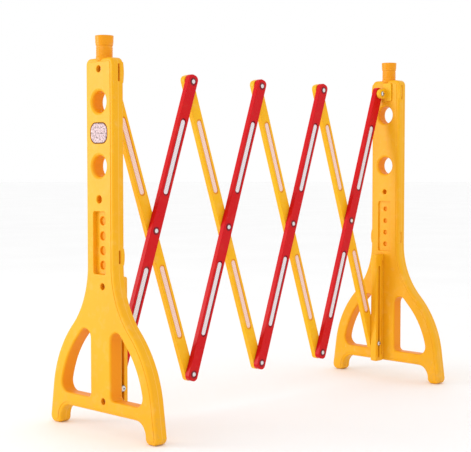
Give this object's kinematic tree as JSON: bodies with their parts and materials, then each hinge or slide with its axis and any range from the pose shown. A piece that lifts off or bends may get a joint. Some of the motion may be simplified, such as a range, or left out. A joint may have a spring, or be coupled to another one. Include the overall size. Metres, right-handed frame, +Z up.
{
  "type": "crowd control barrier",
  "caption": "Expanding crowd control barrier: yellow A-frame end posts joined by a scissor lattice of red and yellow slats with reflective strips.",
  "frame": {"origin": "on the floor, midway between the two posts and between front and rear feet", "axes": "+X along the barrier from the left post to the right one, -Y towards the front (red slats), +Z up"},
  "size_m": [1.149, 0.4104, 0.96],
  "materials": {
    "post_yellow": "blow-moulded polyethylene, satin, softly rounded, warm orange-yellow",
    "cap_orange": "moulded polyethylene, satin, deeper orange",
    "slat_red": "moulded polyethylene, semi-gloss bright red",
    "slat_yellow": "moulded polyethylene, semi-gloss orange-yellow",
    "reflective_tape": "prismatic retroreflective sheeting, white with a grey lattice",
    "reflector_panel": "prismatic retroreflective panel, pinkish white",
    "plated_steel": "zinc-plated steel"
  },
  "bodies": {
    "left_frame": {"left_post": "post_yellow", "left_slide_rail": "post_yellow", "left_top_bracket": "post_yellow", "left_top_pin": "plated_steel", "left_top_nut": "plated_steel", "left_rail_screw_upper": "plated_steel", "left_rail_screw_lower": "plated_steel", "left_bracket_screw": "plated_steel", "left_reflector": "reflector_panel"},
    "left_cap": {"left_cap": "cap_orange"},
    "yellow_arm_1": {"yellow_slat_1": "slat_yellow", "yellow_tape_upper_1": "reflective_tape", "yellow_tape_lower_1": "reflective_tape", "middle_rivet_1": "plated_steel", "bottom_rivet_1": "plated_steel"},
    "red_arm_1": {"red_slat_1": "slat_red", "red_tape_upper_1": "reflective_tape", "red_tape_lower_1": "reflective_tape", "top_rivet_1": "plated_steel", "left_slider_pin": "plated_steel", "left_slider_nut": "plated_steel"},
    "yellow_arm_2": {"yellow_slat_2": "slat_yellow", "yellow_tape_upper_2": "reflective_tape", "yellow_tape_lower_2": "reflective_tape", "middle_rivet_2": "plated_steel", "bottom_rivet_2": "plated_steel"},
    "red_arm_2": {"red_slat_2": "slat_red", "red_tape_upper_2": "reflective_tape", "red_tape_lower_2": "reflective_tape", "top_rivet_2": "plated_steel"},
    "yellow_arm_3": {"yellow_slat_3": "slat_yellow", "yellow_tape_upper_3": "reflective_tape", "yellow_tape_lower_3": "reflective_tape", "middle_rivet_3": "plated_steel", "bottom_rivet_3": "plated_steel"},
    "red_arm_3": {"red_slat_3": "slat_red", "red_tape_upper_3": "reflective_tape", "red_tape_lower_3": "reflective_tape", "top_rivet_3": "plated_steel"},
    "yellow_arm_4": {"yellow_slat_4": "slat_yellow", "yellow_tape_upper_4": "reflective_tape", "yellow_tape_lower_4": "reflective_tape", "middle_rivet_4": "plated_steel", "right_slider_pin": "plated_steel", "right_slider_nut": "plated_steel"},
    "red_arm_4": {"red_slat_4": "slat_red", "red_tape_upper_4": "reflective_tape", "red_tape_lower_4": "reflective_tape"},
    "right_frame": {"right_post": "post_yellow", "right_slide_rail": "post_yellow", "right_top_bracket": "post_yellow", "right_top_pin": "plated_steel", "right_top_nut": "plated_steel", "right_rail_screw_upper": "plated_steel", "right_rail_screw_lower": "plated_steel", "right_bracket_screw": "plated_steel", "right_reflector": "reflector_panel"},
    "right_cap": {"right_cap": "cap_orange"}
  },
  "joints": [
    {"name": "lattice_fold", "type": "hinge", "parent": "left_frame", "child": "yellow_arm_1", "pos_m": [-0.51225, 0.0293, 0.865], "axis": [0, -1, 0], "range_deg": [-14.5, 30]},
    {"name": "middle_pivot_1", "type": "hinge", "parent": "yellow_arm_1", "child": "red_arm_1", "pos_m": [-0.38419, 0.0214, 0.48447], "axis": [0, 1, 0], "range_deg": [-29.1, 60.1]},
    {"name": "top_pivot_1", "type": "hinge", "parent": "red_arm_1", "child": "yellow_arm_2", "pos_m": [-0.25612, 0.0214, 0.865], "axis": [0, -1, 0], "range_deg": [-29.1, 60.1]},
    {"name": "middle_pivot_2", "type": "hinge", "parent": "yellow_arm_2", "child": "red_arm_2", "pos_m": [-0.12806, 0.0214, 0.48447], "axis": [0, 1, 0], "range_deg": [-29.1, 60.1]},
    {"name": "top_pivot_2", "type": "hinge", "parent": "red_arm_2", "child": "yellow_arm_3", "pos_m": [0, 0.0214, 0.865], "axis": [0, -1, 0], "range_deg": [-29.1, 60.1]},
    {"name": "middle_pivot_3", "type": "hinge", "parent": "yellow_arm_3", "child": "red_arm_3", "pos_m": [0.12806, 0.0214, 0.48447], "axis": [0, 1, 0], "range_deg": [-29.1, 60.1]},
    {"name": "top_pivot_3", "type": "hinge", "parent": "red_arm_3", "child": "yellow_arm_4", "pos_m": [0.25612, 0.0214, 0.865], "axis": [0, -1, 0], "range_deg": [-29.1, 60.1]},
    {"name": "middle_pivot_4", "type": "hinge", "parent": "yellow_arm_4", "child": "red_arm_4", "pos_m": [0.38419, 0.0214, 0.48447], "axis": [0, 1, 0], "range_deg": [-29.1, 60.1]},
    {"name": "right_top_pivot", "type": "hinge", "parent": "red_arm_4", "child": "right_frame", "pos_m": [0.51225, 0.0135, 0.865], "axis": [0, -1, 0], "range_deg": [-14.6, 30.1]},
    {"name": "left_cap_turn", "type": "hinge", "parent": "left_frame", "child": "left_cap", "pos_m": [-0.55225, 0, 0.945], "axis": [0, 0, 1], "continuous": true},
    {"name": "right_cap_turn", "type": "hinge", "parent": "right_frame", "child": "right_cap", "pos_m": [0.55225, 0, 0.945], "axis": [0, 0, 1], "continuous": true}
  ],
  "couplings": [
    {"joint": "middle_pivot_1", "follows": "lattice_fold", "ratio": 2},
    {"joint": "top_pivot_1", "follows": "lattice_fold", "ratio": 2},
    {"joint": "middle_pivot_2", "follows": "lattice_fold", "ratio": 2},
    {"joint": "top_pivot_2", "follows": "lattice_fold", "ratio": 2},
    {"joint": "middle_pivot_3", "follows": "lattice_fold", "ratio": 2},
    {"joint": "top_pivot_3", "follows": "lattice_fold", "ratio": 2},
    {"joint": "middle_pivot_4", "follows": "lattice_fold", "ratio": 2},
    {"joint": "right_top_pivot", "follows": "lattice_fold", "ratio": 1}
  ]
}
